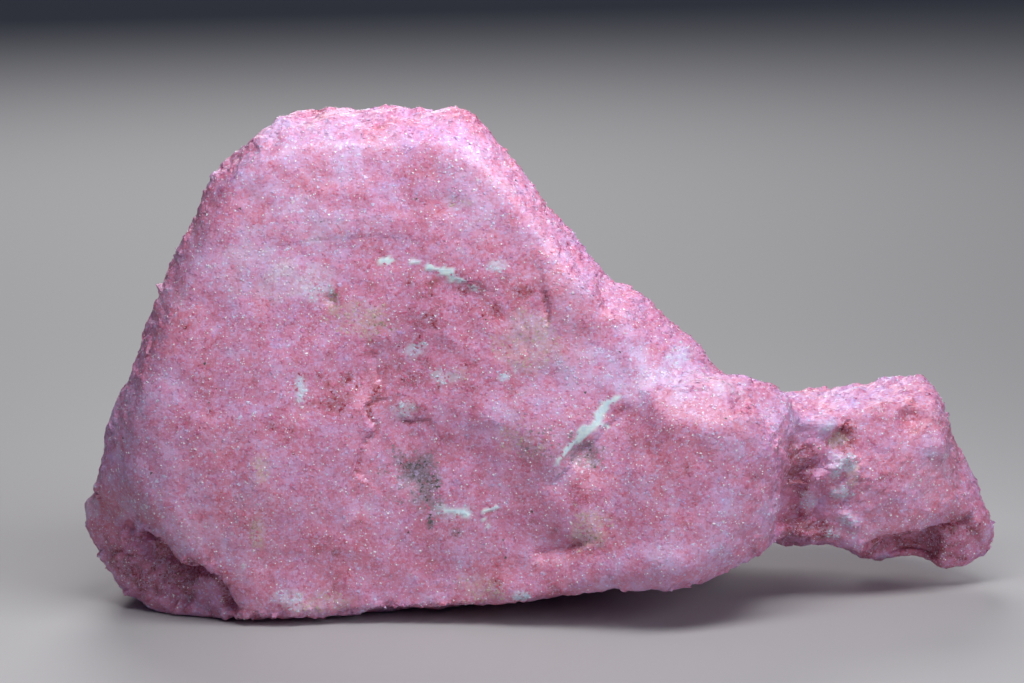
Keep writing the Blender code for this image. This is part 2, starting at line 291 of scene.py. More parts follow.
HAZES = (
    Haze((-28.5, -12.3, 43.0), (6.0, 7, 3.2), 0.14, -0.20),
    Haze((-31.0, -12.9, 38.0), (4.5, 7, 3.0), 0.16, -0.22),
    Haze((-26.0, -13.2, 36.2), (4.6, 7, 2.2), 0.26, -0.30),
    Haze((-12.1, -11.7, 46.3), (1.6, 7, 1.3), 0.16, 0.20),
    Haze((-7.6, -11.8, 45.6), (3.4, 7, 2.2), 0.12, 0.15),
    Haze((-20.6, -12.1, 43.7), (2.6, 7, 1.5), 0.10, 0.10),
    # Painted light: the top is paler where the lamp above lights it most.
    Haze((-15.8, -9.0, 51.6), (15.0, 8, 3.2), 0.13, 0.00),
    Haze((-3.2, -13.1, 35.6), (1.7, 7, 1.5), -0.16, -0.80),
    Haze((-1.9, -14.0, 30.6), (3.2, 7, 3.6), 0.17, -0.42),
    Haze((2.6, -17.1, 8.6), (1.8, 7, 1.2), -0.16, -0.60),
    Haze((7.3, -17.9, 11.0), (2.4, 7, 2.2), -0.12, -0.50),
    Haze((-6.3, -12.7, 40.0), (2.0, 7, 1.4), -0.08, -0.20),
    Haze((40.0, -4.5, 19.9), (1.7, 6, 1.6), -0.16, -0.80),
    Haze((32.8, -7.3, 18.1), (1.5, 6, 1.0), -0.12, -0.80),
    Haze((42.6, -5.2, 17.0), (2.4, 6, 1.6), 0.20, 0.10),
    Haze((44.0, -4.6, 12.6), (3.0, 6, 2.6), -0.04, -0.40),
    Haze((32.4, -7.6, 18.3), (1.9, 6, 1.6), -0.24, -0.60),
    Haze((30.6, -8.3, 19.9), (1.5, 6, 1.0), 0.34, -0.05),
    Haze((36.0, 0.0, 22.2), (8.5, 6, 1.4), 0.10, 0.00),
    # Painted shade under the tail's lower ledge.
    Haze((39.0, -2.5, 4.6), (5.0, 7, 1.8), -0.28, 0.00),
    Haze((-42.6, -12.9, 9.0), (1.2, 5, 0.8), -0.32, 0.00),
    Haze((-44.7, -12.0, 9.7), (1.0, 5, 0.7), -0.28, 0.00),
    # Painted shade down the neck and at its foot, which lie in the buttress's shade.
    Haze((27.8, -10.6, 14.0), (2.6, 6, 4.8), -0.33, 0.05),
    Haze((29.0, -9.4, 7.8), (3.6, 6, 1.6), -0.30, 0.10),
    # Painted shade, darker and cooler, at the tail's lower end.
    Haze((46.2, -3.2, 7.6), (3.0, 6, 1.6), -0.18, 0.10),
    # Painted shade on the toe: cooler, for the cool light in its shade.
    Haze((-40.5, -13.2, 5.0), (5.5, 7, 4.2), -0.06, 0.20),
    Haze((14.2, -11.1, 28.0), (1.9, 6, 1.3), 0.38, -0.15),
    # Deeper, redder pink low on the main face: partly the rock's tone, partly painted shade.
    Haze((-8.0, -17.0, 8.5), (17.0, 8, 8.0), -0.10, -0.05),
    # Paler on the buttress: partly the rock's tone, partly painted light.
    Haze((14.0, -16.5, 13.0), (10.0, 8, 7.5), 0.07, 0.00),
    # Painted shade, darker and cooler, on the toe's lower right under the overhang.
    Haze((-36.0, -16.0, 3.6), (3.0, 7, 3.0), -0.12, 0.30),
    Haze((25.0, -12.9, 23.0), (1.6, 6, 1.7), 0.16, -0.10),
    # Painted light: paler along the buttress's lit top.
    Haze((16.0, -13.3, 26.2), (9.0, 6, 1.8), 0.28, -0.12),
    Haze((-43.0, -14.5, 17.5), (7.0, 9, 6.0), 0.06, -0.02),
    Haze((-45.5, -11.0, 12.5), (5.0, 8, 3.5), -0.07, -0.28),
    Haze((-49.4, -8.6, 11.4), (1.3, 5, 1.9), 0.36, -0.20),
    # Painted shade, darker and cooler, on the toe under the overhanging main face.
    Haze((-41.5, -12.8, 5.0), (6.0, 8, 4.0), -0.33, 0.18),
    # Painted shade, darker and cooler, low on the tail's end.
    Haze((44.5, -3.0, 5.0), (4.0, 8, 3.0), -0.22, 0.15),
    Haze((28.9, -9.6, 11.4), (2.0, 6, 1.6), 0.20, 0.00),
    Haze((-14.0, -15.3, 22.8), (3.0, 7, 2.6), 0.16, 0.10),
    # Painted shade: darker in the middle of the main face, where it turns away from the lamp.
    Haze((-13.0, -14.0, 30.5), (14.0, 8, 9.5), -0.12, 0.00),
    Haze((-18.0, -14.3, 33.2), (3.0, 7, 2.4), 0.02, -0.25),
    Haze((-10.0, 16.0, 30.0), (9.0, 9, 6.0), 0.14, 0.30),
    Haze((12.0, 14.0, 14.0), (6.0, 9, 5.0), -0.10, -0.40),
    Haze((-34.0, 10.0, 20.0), (7.0, 9, 8.0), -0.06, -0.30),
    Haze((34.0, 10.0, 12.0), (5.0, 8, 5.0), 0.16, 0.30),
)

INCLUSIONS = (
    Inclusion((-2.4, -14.3, 30.4), (3.2, 6, 3.6), Mineral.EPIDOTE, 0.34),
    Inclusion((0.3, -14.3, 30.3), (2.0, 6, 2.2), Mineral.EPIDOTE, 0.24),
    Inclusion((-22.7, -13.3, 34.6), (1.1, 6, 1.2), Mineral.OLIVE, 0.55),
    Inclusion((-19.4, -13.7, 33.0), (3.4, 6, 2.2), Mineral.EPIDOTE, 0.38),
    Inclusion((-17.6, -14.0, 32.5), (2.2, 6, 1.4), Mineral.OLIVE, 0.24),
    Inclusion((4.8, -18.0, 10.9), (2.4, 6, 2.0), Mineral.EPIDOTE, 0.48),
    Inclusion((4.4, -18.0, 10.2), (1.2, 6, 1.2), Mineral.OLIVE, 0.16),
    Inclusion((-29.9, -17.3, 17.6), (0.9, 6, 1.6), Mineral.EPIDOTE, 0.56),
    Inclusion((-30.5, -17.5, 10.4), (1.0, 6, 2.2), Mineral.EPIDOTE, 0.52),
    Inclusion((-30.7, -17.5, 11.2), (0.6, 6, 1.2), Mineral.OLIVE, 0.30),
    Inclusion((-9.8, -14.9, 26.4), (2.4, 6, 1.4), Mineral.EPIDOTE, 0.14),
    Inclusion((-9.2, -11.9, 45.0), (2.0, 6, 0.9), Mineral.EPIDOTE, 0.24),
    Inclusion((-2.7, -16.4, 20.3), (2.6, 6, 2.0), Mineral.EPIDOTE, 0.32),
    Inclusion((-6.9, -17.2, 4.1), (2.4, 6, 1.8), Mineral.EPIDOTE, 0.36),
    Inclusion((-24.0, -17.0, 2.6), (3.4, 6, 1.2), Mineral.EPIDOTE, 0.36),
    Inclusion((31.7, -7.7, 18.1), (1.2, 6, 0.9), Mineral.EPIDOTE, 0.56),
    Inclusion((31.9, -7.8, 17.9), (1.1, 6, 0.9), Mineral.OLIVE, 0.28),
    Inclusion((33.2, -8.1, 14.6), (0.8, 6, 1.4), Mineral.EPIDOTE, 0.48),
    Inclusion((-13.6, -15.0, 15.6), (3.4, 6, 3.2), Mineral.SMOKY, 0.72),
    Inclusion((-14.2, -14.9, 16.7), (1.6, 6, 1.5), Mineral.AMPHIBOLE, 0.70),
    Inclusion((-12.6, -15.2, 15.0), (1.5, 6, 1.4), Mineral.AMPHIBOLE, 0.60),
    Inclusion((-12.6, -15.3, 13.0), (2.2, 6, 1.6), Mineral.SMOKY, 0.30),
    Inclusion((-12.2, -15.8, 11.2), (0.45, 6, 0.85), Mineral.AMPHIBOLE, 0.95),
    Inclusion((-9.5, -16.0, 10.0), (0.8, 6, 0.6), Mineral.AMPHIBOLE, 0.50),
    Inclusion((4.2, -16.1, 18.7), (2.3, 6, 1.6), Mineral.SMOKY, 0.60),
    Inclusion((4.9, -16.3, 18.2), (0.7, 6, 0.8), Mineral.AMPHIBOLE, 0.45),
    Inclusion((0.4, -16.6, 19.6), (3.6, 6, 3.2), Mineral.SMOKY, 0.24),
    Inclusion((-25.8, -15.3, 25.3), (0.7, 6, 1.7), Mineral.MILKY, 0.95),
    Inclusion((-9.6, -15.9, 12.1), (2.2, 6, 0.9), Mineral.MILKY, 0.35),
    Inclusion((-14.8, -15.3, 23.2), (1.7, 6, 1.2), Mineral.MILKY, 0.45),
    Inclusion((-13.8, -14.3, 29.4), (1.2, 6, 1.0), Mineral.MILKY, 0.60),
    Inclusion((-10.4, -14.8, 26.5), (2.0, 6, 0.8), Mineral.MILKY, 0.42),
    Inclusion((-4.3, -14.7, 26.6), (0.9, 6, 0.55), Mineral.MILKY, 0.85),
    Inclusion((14.2, -11.1, 28.1), (1.9, 6, 1.4), Mineral.MILKY, 0.20),
    Inclusion((-2.4, -18.0, 3.4), (1.0, 6, 0.8), Mineral.MILKY, 0.85),
    Inclusion((-27.1, -17.3, 3.0), (1.8, 6, 1.3), Mineral.MILKY, 0.50),
    Inclusion((-24.0, -13.2, 36.0), (1.7, 6, 1.5), Mineral.MILKY, 0.48),
    Inclusion((-5.2, -12.8, 38.4), (1.2, 6, 0.6), Mineral.MILKY, 0.60),
    Inclusion((32.1, -8.1, 15.7), (1.5, 5, 1.6), Mineral.MILKY, 0.62),
    Inclusion((32.1, -8.6, 12.3), (1.2, 5, 0.9), Mineral.MILKY, 0.55),
    Inclusion((33.0, -8.0, 9.2), (1.4, 5, 0.8), Mineral.MILKY, 0.50),
    Inclusion((31.3, -7.9, 7.6), (1.1, 5, 0.8), Mineral.MILKY, 0.35),
    Inclusion((28.6, -9.7, 11.3), (0.9, 5, 1.3), Mineral.MILKY, 0.35),
    Inclusion((20.0, 12.0, 20.0), (4.5, 8, 2.0), Mineral.MILKY, 0.55),
    Inclusion((-20.0, 14.0, 34.0), (7.0, 8, 4.0), Mineral.EPIDOTE, 0.36),
    Inclusion((-4.0, 17.0, 20.0), (2.2, 8, 2.0), Mineral.AMPHIBOLE, 0.45),
)


@dataclass(frozen=True)
class Vein:
    """A streak of massive white rock on the main face.

    Attributes:
        line: its middle line, as (x, z) in mm.
        widths: its half-width at each of those points, in mm.
        tear: how far noise changes the half-width, as a share of it.
        blur: half the width over which its edge fades, in mm.
    """

    line: tuple[Spot, ...]
    widths: tuple[float, ...]
    tear: ClassVar[float] = 0.22
    blur: ClassVar[float] = 0.10

    def cover(self, points: np.ndarray, ragged: np.ndarray) -> np.ndarray:
        """1 inside the vein and 0 outside it, with a torn edge.

        Args:
            points: places in mm.
            ragged: noise that tears the vein's edge.

        Returns:
            One value for each point.
        """
        gap, along, _ = beside(points, self.line)
        half = np.interp(along, range(len(self.widths)), self.widths)
        return eased(half * (1 + self.tear * ragged) - gap, -self.blur, self.blur) * (points[:, 1] < 0)


VEINS = (
    Vein(
        ((7.9, 24.6), (6.6, 24.1), (6.0, 23.1), (5.4, 22.1), (4.4, 21.2), (3.4, 20.4), (2.5, 19.5),
         (1.9, 18.8), (1.0, 17.6)),
        (0.16, 0.32, 0.46, 0.62, 0.60, 0.42, 0.25, 0.21, 0.10),
    ),
    Vein(((5.8, 21.5), (6.2, 21.9), (6.6, 21.6), (6.7, 21.1)), (0.10, 0.16, 0.18, 0.08)),
    Vein(((-17.3, 38.8), (-16.6, 38.9), (-15.9, 38.8)), (0.34, 0.34, 0.08)),
    Vein(((-14.4, 38.8), (-13.8, 38.8), (-13.1, 38.8)), (0.10, 0.18, 0.08)),
    Vein(
        ((-12.6, 38.1), (-12.0, 38.2), (-11.4, 38.0), (-10.8, 37.7), (-10.1, 37.6), (-9.9, 37.0),
         (-9.7, 36.5)),
        (0.18, 0.34, 0.24, 0.40, 0.44, 0.40, 0.14),
    ),
    Vein(((-9.6, 37.1), (-9.0, 36.8), (-8.5, 36.7)), (0.20, 0.32, 0.12)),
    Vein(((-7.9, 36.2), (-7.2, 35.9)), (0.14, 0.20)),
    Vein(((-11.4, 12.8), (-10.4, 12.4), (-9.5, 12.3), (-8.7, 12.3), (-8.2, 11.8), (-8.0, 11.5)),
         (0.10, 0.22, 0.30, 0.28, 0.30, 0.10)),
    Vein(((-6.7, 12.2), (-6.2, 12.5), (-5.5, 12.7), (-4.9, 12.9)), (0.16, 0.24, 0.22, 0.12)),
    Vein(((-6.5, 11.5), (-5.9, 10.6)), (0.08, 0.16)),
)


@dataclass(frozen=True)
class Growth:
    """How tone, cast and minerals spread over the rock, with the shade and light that some hazes and clefts
    paint into the tone. It rules both the grains and the skin.

    Attributes:
        tone, cast: their middle values.
        tone_waves, cast_waves: size in mm and swing of each layer of their noise.
        web: size in mm and swing of the net of pale grains around the deeper clots.
        web_depth: how far the tone falls in the clots against its rise in the net.
        pits: size in mm of small deep red spots, and how far the tone falls in them.
        pit_noise: the noise at which a spot begins and at which it is as deep as it gets.
        haze_tear, inclusion_tear, vein_tear: size in mm of the noise that tears their outlines.
        jumble: how much paler than its place a grain may be, in shades, and how unlike the casts of
            neighbours are, in steps from cast to cast.
        paler: how much paler every grain is besides, in shades.
        frosting: share of grains that are paler still, and by how many shades.
        frosted_from: the tone from which that share is full. It falls to none in the deepest clefts, so
            that the painted shade there stays dark.
        glints: share of white glint grains everywhere, partly quartz and partly painted glints.
        flecks: share of dark grains everywhere.
    """

    tone: float = 0.355
    cast: float = 0.42
    tone_waves: tuple[Pair, ...] = ((0.9, 0.042), (1.8, 0.047), (4.0, 0.054), (12.0, 0.050))
    cast_waves: tuple[Pair, ...] = ((1.4, 0.07), (4.0, 0.10), (14.0, 0.09))
    web: Pair = (1.5, 0.058)
    web_depth: float = 1.25
    pits: Pair = (0.9, 0.12)
    pit_noise: Pair = (1.5, 2.1)
    haze_tear: float = 2.4
    inclusion_tear: float = 1.8
    vein_tear: float = 0.9
    jumble: Pair = (0.44, 0.14)
    paler: float = 0.10
    frosting: Pair = (0.24, 1.8)
    frosted_from: float = 0.30
    glints: float = 0.09
    flecks: float = 0.001

    def veined(self, points: np.ndarray) -> np.ndarray:
        """How far each point is inside a white vein, from 0 to 1."""
        ragged = noise_over(points, self.vein_tear, Layer.VEIN_EDGE, octaves=2)
        return np.max([vein.cover(points, ragged) for vein in VEINS], axis=0)

    def leaning(self, points: np.ndarray) -> tuple[np.ndarray, np.ndarray]:
        """Where the pink rock stands among its shades and its casts.

        Args:
            points: places in mm.

        Returns:
            The tone and the cast at each point, both from 0 to 1.
        """
        ragged = noise_over(points, self.haze_tear, Layer.HAZE_EDGE, octaves=3)
        tone, cast = np.full(len(points), self.tone), np.full(len(points), self.cast)
        for number, (length, swing) in enumerate(self.tone_waves):
            tone += swing * noise_over(points, length, Layer.TONE + number)
        for number, (length, swing) in enumerate(self.cast_waves):
            cast += swing * noise_over(points, length, Layer.CAST + number)
        net = np.abs(noise_over(points, self.web[0], Layer.WEB))
        tone += self.web[1] * (1 - self.web_depth * net)
        tone -= self.pits[1] * eased(noise_over(points, self.pits[0], Layer.PITS), *self.pit_noise)
        # Some hazes are painted shade or painted light, where the rock lies in shade or catches the lamp.
        for haze in HAZES:
            cover = haze.cover(points, ragged)
            tone += haze.tone * cover
            cast += haze.cast * cover
        # The clefts' deeper colour is mostly painted shade in the valleys, and along LIP a painted
        # highlight.
        for cleft in CLEFTS:
            tone -= cleft.stain_and_shade * cleft.cover(points, ragged)
        return tone.clip(0, 1), cast.clip(0, 1)

    def intruders(self, points: np.ndarray) -> np.ndarray:
        """How many of the grains are of the other minerals.

        Args:
            points: places in mm.

        Returns:
            The share of each mineral at each point: one row a point and one column a mineral.
        """
        ragged = noise_over(points, self.inclusion_tear, Layer.INCLUSION_EDGE, octaves=3)
        table = np.zeros((len(points), len(Mineral)))
        order = list(Mineral)
        table[:, order.index(Mineral.QUARTZ)] = self.glints
        table[:, order.index(Mineral.AMPHIBOLE)] = self.flecks
        for one in INCLUSIONS:
            taken = one.share * one.cover(points, ragged)
            table *= 1 - taken[:, None]
            table[:, order.index(one.mineral)] += taken
        return table

    def colours(self, points: np.ndarray) -> np.ndarray:
        """The mean colour of the grains around each point.

        Args:
            points: places in mm.

        Returns:
            One linear colour for each point.
        """
        tone, cast = self.leaning(points)
        tones, shades = zip(*(shade.value for shade in Shade))
        casts, tints = zip(*(one.value for one in Cast))
        channels = zip(np.array(shades).T, np.array(tints).T)
        mixed = [np.interp(tone, tones, shade) * np.interp(cast, casts, tint) for shade, tint in channels]
        table = self.intruders(points)
        others = table @ np.array([mineral.value.colour for mineral in Mineral])
        return np.stack(mixed, axis=1) * (1 - table.sum(axis=1))[:, None] + others

    def kinds(self, points: np.ndarray, chance: np.random.Generator) -> np.ndarray:
        """The number among rock_finishes of what each grain is made of.

        Args:
            points: the grains' places in mm.
            chance: the draw of random numbers.

        Returns:
            One number for each grain.
        """
        tone, cast = self.leaning(points)
        tones = np.array([shade.value[0] for shade in Shade])
        level = np.interp(tone, tones, range(len(tones)))
        level = level + chance.exponential(self.jumble[0], len(points)) + self.paler
        frosted = chance.random(len(points)) < self.frosting[0] * eased(tone, 0, self.frosted_from)
        level += self.frosting[1] * frosted
        lean = cast * (len(Cast) - 1) + chance.normal(0, self.jumble[1], len(points))
        kind = level.round().clip(0, len(tones) - 1) * len(Cast) + lean.round().clip(0, len(Cast) - 1)
        limits = np.cumsum(self.intruders(points), axis=1)
        drawn = chance.random(len(points))[:, None]
        other = (limits <= drawn).sum(axis=1)
        return np.where(other < len(Mineral), len(Shade) * len(Cast) + other, kind).astype(int)


# ---------------------------------------------------------------- the skin's relief


@dataclass(frozen=True)
class Break:
    """A step on the main face, as crisp as the fine skin can show it.

    Attributes:
        line: where it runs, as (x, z) in mm. On its right, seen along it, the face lies deeper.
        drop: how much deeper, in mm.
        heal: how far from the line the face comes back, in mm.
        fade: how soon the step sets in from each end of its line, in corners.
        waver: how far noise moves the step from its line, in mm.
        slope: from where to where beside its line the step falls, in mm.
    """

    line: tuple[Spot, ...]
    drop: float
    heal: float
    fade: ClassVar[float] = 0.7
    waver: ClassVar[float] = 0.12
    slope: ClassVar[Pair] = (-0.25, 0.30)

    def depth(self, points: np.ndarray, wander: np.ndarray) -> np.ndarray:
        """How much deeper the face lies at each point.

        Args:
            points: places in mm.
            wander: noise that makes the line ragged.

        Returns:
            One depth for each point, in mm.
        """
        gap, along, side = beside(points, self.line)
        ends = eased(along, 0, self.fade) * eased(len(self.line) - 1 - along, 0, self.fade)
        return self.drop * eased(side + self.waver * wander, *self.slope) * ends * np.exp(-gap / self.heal)


@dataclass(frozen=True)
class Cleft:
    """A narrow valley on the main face. Its colour is mostly deeper than the rock beside it, as painted
    shade.

    Attributes:
        line: where it runs, as (x, z) in mm.
        half: its half-width in mm.
        floor: its depth in mm.
        stain_and_shade: how far the tone falls in it, mostly as painted shade, or below 0, how far it
            rises, as a painted highlight.
        fade: how soon the valley sets in from each end of its line, in corners.
        waver: how far noise changes the half-width, as a share of it.
        least: the smallest half-width that is left, as a share of the usual one.
    """

    line: tuple[Spot, ...]
    half: float
    floor: float
    stain_and_shade: float
    fade: ClassVar[float] = 0.6
    waver: ClassVar[float] = 0.2
    least: ClassVar[float] = 0.4

    def cover(self, points: np.ndarray, wander: np.ndarray) -> np.ndarray:
        """1 along the valley's floor and 0 beside it.

        Args:
            points: places in mm.
            wander: noise that widens and narrows the valley.

        Returns:
            One value for each point.
        """
        gap, along, _ = beside(points, self.line)
        ends = eased(along, 0, self.fade) * eased(len(self.line) - 1 - along, 0, self.fade)
        half = self.half * (1 + self.waver * wander).clip(self.least)
        return ends * np.exp(-((gap / half) ** 2)) * (points[:, 1] < 0)


LEDGE = ((-23.4, 40.5), (-22.0, 40.7), (-19.0, 40.8), (-17.4, 41.2), (-16.5, 41.4), (-15.6, 41.0),
         (-14.5, 40.6), (-12.6, 40.3), (-11.4, 39.8))
LIP = ((-30.0, 40.0), (-25.9, 40.7), (-22.7, 41.1), (-19.5, 41.3), (-15.9, 41.4), (-14.0, 41.1),
       (-12.8, 39.6))
MIDDLE_EDGE = ((-20.3, 16.2), (-19.8, 16.8), (-19.7, 17.7), (-19.5, 18.4), (-19.0, 19.6), (-18.3, 20.1),
               (-17.9, 20.7), (-17.9, 21.3), (-18.3, 21.8), (-18.7, 22.7), (-18.7, 23.7), (-18.8, 24.1))
SCALLOP_EDGE = ((-15.9, 22.4), (-14.9, 21.7), (-14.3, 21.5), (-13.7, 21.7), (-12.9, 21.8), (-12.3, 22.2))
CRACK = ((-0.4, 35.9), (0.0, 35.0), (-0.1, 34.5), (0.1, 34.0), (0.0, 33.7), (0.2, 33.3), (0.3, 32.9),
         (0.2, 32.1))
TOE_EDGE = ((-43.4, 9.4), (-42.3, 9.0), (-41.5, 8.9), (-40.8, 8.0), (-40.0, 6.9), (-39.2, 6.4),
            (-38.0, 5.8), (-36.6, 5.7), (-35.0, 5.0), (-34.4, 4.3), (-33.8, 2.5), (-33.2, 1.2))
TAIL_EDGE = ((34.6, 5.6), (35.7, 6.2), (37.1, 6.7), (38.7, 6.8), (40.1, 7.2), (41.9, 6.9), (43.4, 7.3),
             (44.7, 7.7), (46.2, 7.9), (47.3, 8.4))

BREAKS = (
    Break(LIP, 0.05, 3.0),
    Break(((-7.5, 35.8), (-4.8, 34.7), (-3.2, 33.2), (-2.2, 31.1), (-2.2, 29.0), (-3.1, 27.5)), -0.15, 2.2),
    Break(MIDDLE_EDGE, 0.42, 2.2),
    Break(((-18.7, 24.0), (-17.9, 24.5), (-17.6, 25.2), (-18.3, 27.4), (-18.6, 31.0)), 0.30, 1.4),
    Break(SCALLOP_EDGE, 0.34, 1.4),
    Break(((-0.2, 15.0), (1.7, 17.0), (3.9, 19.2), (6.0, 21.0), (7.6, 22.8), (8.8, 24.5)), 0.36, 1.8),
    Break(((-1.6, 40.0), (-0.5, 37.9), (0.0, 35.3), (0.6, 32.0)), 0.12, 1.5),
    Break(TOE_EDGE, 1.00, 2.0),
    Break(((-48.6, 7.6), (-47.7, 7.0), (-46.9, 7.0), (-45.9, 7.1), (-45.2, 7.1), (-43.6, 6.6)), 0.50, 1.2),
    Break(((-42.6, 3.4), (-42.3, 2.8), (-41.3, 2.4), (-40.0, 3.4), (-38.4, 3.0), (-37.2, 2.4)), 0.50, 1.2),
    Break(TAIL_EDGE, 1.20, 2.6),
    Break(((5.8, 9.8), (3.7, 9.0), (2.1, 8.4), (0.3, 7.9), (-1.6, 6.9)), 0.35, 1.6),
    Break(((9.5, 25.2), (12.1, 25.9), (15.3, 25.9), (19.6, 25.4), (22.9, 24.6)), -0.30, 1.5),
)

CLEFTS = (
    Cleft(CRACK, 0.20, 0.30, 0.45),
    # A painted highlight: the pale line along the lip where it catches the lamp above.
    Cleft(LIP, 0.30, 0.03, -0.16),
    # Painted shadow along the foot of the proud plates' edges.
    Cleft(MIDDLE_EDGE, 0.24, 0.20, 0.30),
    Cleft(SCALLOP_EDGE, 0.22, 0.15, 0.26),
    Cleft(((2.4, 17.9), (3.8, 18.6), (5.4, 19.6)), 0.9, 0.28, 0.06),
    # Painted shadow under the main face's overhanging edge, along the toe.
    Cleft(TOE_EDGE, 0.42, 1.20, 0.95),
    Cleft(((-39.6, 6.5), (-38.3, 5.6), (-37.0, 5.5), (-35.4, 5.0)), 0.60, 1.00, 0.75),
    # Painted shade down the neck, which lies in the buttress's shade.
    Cleft(((26.9, 21.0), (26.8, 17.0), (27.3, 15.2), (27.1, 13.6), (27.2, 11.6), (27.4, 8.6), (28.6, 7.4)),
          1.8, 1.45, 0.22),
    Cleft(((28.2, 15.8), (28.4, 14.6), (28.2, 13.6)), 0.9, 0.80, 0.20),
    Cleft(((29.6, 10.5), (30.4, 8.4), (30.8, 6.6)), 0.9, 0.60, 0.12),
    # Painted shade under the tail's lower ledge.
    Cleft(TAIL_EDGE, 0.45, 0.50, 0.30),
    Cleft(((31.0, 18.8), (32.2, 19.2), (33.2, 18.9)), 0.45, 0.50, 0.20),
    Cleft(((22.6, 7.4), (21.4, 8.8), (20.2, 11.6)), 0.9, 0.45, 0.06),
    Cleft(((-1.6, 7.8), (0.6, 8.3), (2.7, 8.8), (4.4, 9.6)), 0.6, 0.45, 0.08),
)


@dataclass(frozen=True)
class Dent:
    """A rounded pit in the surface, or a knob where its depth is negative. All in mm."""

    centre: Point
    reach: float
    depth: float


DENTS = (
    Dent((13.0, -17.5, 6.5), 8.5, -1.25),
    Dent((-15.0, -17.2, 2.5), 8.0, 0.80),
    Dent((-16.0, -13.0, 29.5), 6.0, 0.42),
    Dent((-28.0, -6.8, 52.7), 1.4, -0.40),
    Dent((-25.2, -5.5, 53.3), 1.8, 0.70),
    Dent((39.8, -4.6, 20.1), 1.5, 0.8),
    Dent((32.2, -7.6, 18.4), 1.4, 1.0),
    Dent((39.6, -1.8, 3.6), 3.4, 1.90),
    Dent((28.4, -9.8, 9.5), 5.2, 2.40),
    Dent((-42.5, -12.9, 9.2), 0.8, 0.9),
    Dent((-44.5, -12.0, 9.8), 0.6, 0.6),
    Dent((-13.8, -14.8, 15.8), 1.6, 0.30),
    Dent((-12.0, -14.0, 25.5), 10.5, 1.35),
    Dent((-22.7, -13.3, 34.8), 0.7, 0.45),
    Dent((-20.0, -13.0, 42.4), 0.5, 0.15),
    Dent((32.4, -7.9, 16.3), 0.9, -0.75),
    Dent((31.6, -8.4, 15.2), 0.8, -0.70),
    Dent((32.1, -8.6, 12.3), 0.9, -0.75),
    Dent((32.7, -8.1, 9.6), 0.8, -0.65),
    Dent((33.8, -7.8, 8.7), 0.7, -0.50),
    Dent((31.3, -7.9, 7.6), 0.8, -0.55),
    Dent((30.2, -8.3, 20.1), 0.9, -0.55),
    Dent((31.3, -8.1, 19.9), 0.7, -0.50),
    Dent((42.6, -5.2, 17.0), 1.5, -0.45),
    Dent((28.9, -9.6, 14.0), 0.8, -0.40),
    Dent((-49.3, -8.8, 11.4), 1.0, -0.35),
    Dent((-4.0, -13.0, 37.6), 0.5, -0.20),
)


RUGGED = (
    Patch((-41.5, -13.0, 6.0), (6.0, 8, 4.0)),
    Patch((32.5, -8.5, 14.0), (2.2, 5, 5.0)),
)


@dataclass(frozen=True)
class Chipping:
    """Small flat breaks side by side, each a little higher, lower or tilted, as on broken stone.

    Attributes:
        span: size of one break, in mm.
        step: how unlike their heights are, in mm.
        tilt: how unlike their slopes are.
        layer: which of many unlike patterns to make.
        bend: how far noise bends their borders, in spans.
        bend_size: size of that noise's blobs, in spans.
    """

    span: float
    step: float
    tilt: float
    layer: Layer
    bend: ClassVar[float] = 0.12
    bend_size: ClassVar[float] = 0.5

    def height(self, points: np.ndarray, spacing: float) -> np.ndarray:
        """How far the surface stands out at each point.

        Args:
            points: the surface's points in mm.
            spacing: from each to the next, in mm.

        Returns:
            One height for each point, in mm.
        """
        chance = np.random.default_rng((SEED, self.layer))
        count = int(len(points) * (spacing / self.span) ** 2)
        middles = points[chance.choice(len(points), count, replace=False)]
        tree = KDTree(count)
        for number, middle in enumerate(middles):
            tree.insert(middle, number)
        tree.balance()
        size = self.span * self.bend_size
        waves = [noise_over(points, size, self.layer + axis) for axis in range(3)]
        bent = points + self.span * self.bend * np.stack(waves, axis=1)
        owner = np.array([tree.find(place)[1] for place in bent])
        slopes = chance.normal(0, self.tilt, (count, 3))
        leaning = ((points - middles[owner]) * slopes[owner]).sum(axis=1)
        return chance.normal(0, self.step, count)[owner] + leaning


# ---------------------------------------------------------------- shader wiring


class Wire:
    """A socket that can be calculated with: an expression on values adds its Math nodes."""

    def __init__(self, tree: "Wiring", socket: bpy.types.NodeSocket) -> None:
        """Wraps an output socket of a tree."""
        self.tree = tree
        self.socket = socket

    def maths(self, operation: str, first: object, second: object) -> "Wire":
        """One Math node.

        Args:
            operation: the node's operation.
            first: a wire or a number.
            second: a wire or a number.

        Returns:
            The node's result.
        """
        return self.tree.node("ShaderNodeMath", {"operation": operation}, {0: first, 1: second})

    def __add__(self, other: object) -> "Wire":
        """self + other."""
        return self.maths("ADD", self, other)

    def __sub__(self, other: object) -> "Wire":
        """self - other."""
        return self.maths("SUBTRACT", self, other)

    def __rsub__(self, other: object) -> "Wire":
        """other - self."""
        return self.maths("SUBTRACT", other, self)

    def __mul__(self, other: object) -> "Wire":
        """self * other."""
        return self.maths("MULTIPLY", self, other)

    __radd__ = __add__
    __rmul__ = __mul__

    def ramp(self, none: float, full: float) -> "Wire":
        """A smooth curve from 0 to 1.

        Args:
            none: the value where it leaves 0.
            full: the value where it comes to 1.

        Returns:
            Its height at this value.
        """
        settings = {"interpolation_type": "SMOOTHSTEP", "clamp": True}
        inputs = {"Value": self, "From Min": none, "From Max": full}
        return self.tree.node("ShaderNodeMapRange", settings, inputs)


